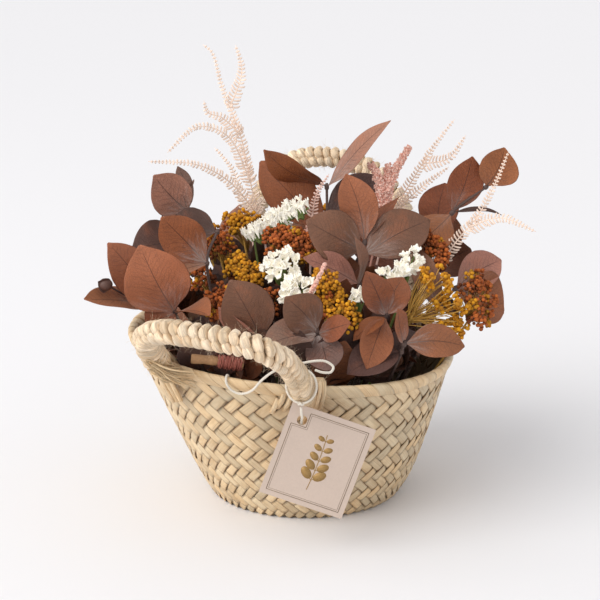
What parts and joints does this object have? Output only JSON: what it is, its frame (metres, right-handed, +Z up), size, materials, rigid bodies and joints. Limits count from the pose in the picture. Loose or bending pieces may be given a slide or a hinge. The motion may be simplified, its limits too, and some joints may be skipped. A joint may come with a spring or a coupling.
{
  "type": "dried flower basket arrangement",
  "caption": "Dried and preserved flowers and leaves standing in foam in a small woven palm basket with two rope handles and a hanging card tag.",
  "frame": {"origin": "middle of the basket's foot, on the surface that it stands on", "axes": "+Z up; the leaning front handle is at -Y and the upright back handle at +Y, so the picture looks from -Y turned 17 degrees towards +X"},
  "size_m": [0.2666, 0.3052, 0.2992],
  "materials": {
    "palm": "dry cream palm strips, slightly glossy",
    "rope": "hairy undyed plant-fibre rope",
    "cotton": "smooth white cotton string",
    "card": "uncoated greyish-pink card with a fine speckle",
    "leaf": "preserved leaves, brown, rust and grey-mauve, waxy sheen",
    "rust": "matt rust-orange buttons",
    "gold": "matt golden-yellow buttons",
    "cream": "papery off-white florets",
    "rose": "dusty pink small florets",
    "blush": "peach, matt fine fronds",
    "bark": "brown stem with a reddish thread",
    "foam": "brown dry floral foam"
  },
  "bodies": {
    "root": {"back_handle": "rope", "back_lashing_left": "rope", "back_lashing_right": "rope", "basket": "palm", "eucalyptus_01": "leaf", "eucalyptus_02": "leaf", "eucalyptus_03": "leaf", "eucalyptus_04": "leaf", "eucalyptus_05": "leaf", "eucalyptus_06": "leaf", "eucalyptus_07": "leaf", "eucalyptus_08": "leaf", "eucalyptus_09": "leaf", "eucalyptus_10": "leaf", "eucalyptus_11": "leaf", "eucalyptus_12": "leaf", "eucalyptus_13": "leaf", "eucalyptus_14": "leaf", "eucalyptus_15": "leaf", "eucalyptus_16": "leaf", "eucalyptus_17": "leaf", "eucalyptus_18": "leaf", "eucalyptus_19": "leaf", "fern_01": "blush", "fern_02": "blush", "fern_03": "blush", "fern_04": "blush", "fern_05": "blush", "foam": "foam", "front_handle": "rope", "front_lashing_left": "rope", "front_lashing_right": "rope", "pink_spike_01": "rose", "pink_spike_02": "rose", "pink_spike_03": "rose", "rust_cluster_01": "rust", "rust_cluster_02": "rust", "rust_cluster_03": "rust", "rust_cluster_04": "rust", "rust_cluster_05": "rust", "rust_cluster_06": "rust", "statice_01": "cream", "statice_02": "cream", "statice_03": "cream", "statice_04": "cream", "statice_05": "cream", "statice_06": "cream", "string_bow": "cotton", "string_link": "cotton", "string_tie": "cotton", "tag": "card", "tied_stem": "bark", "yellow_cluster_01": "gold", "yellow_cluster_02": "gold", "yellow_cluster_03": "gold", "yellow_cluster_04": "gold", "yellow_open_spray": "gold"}
  },
  "joints": []
}
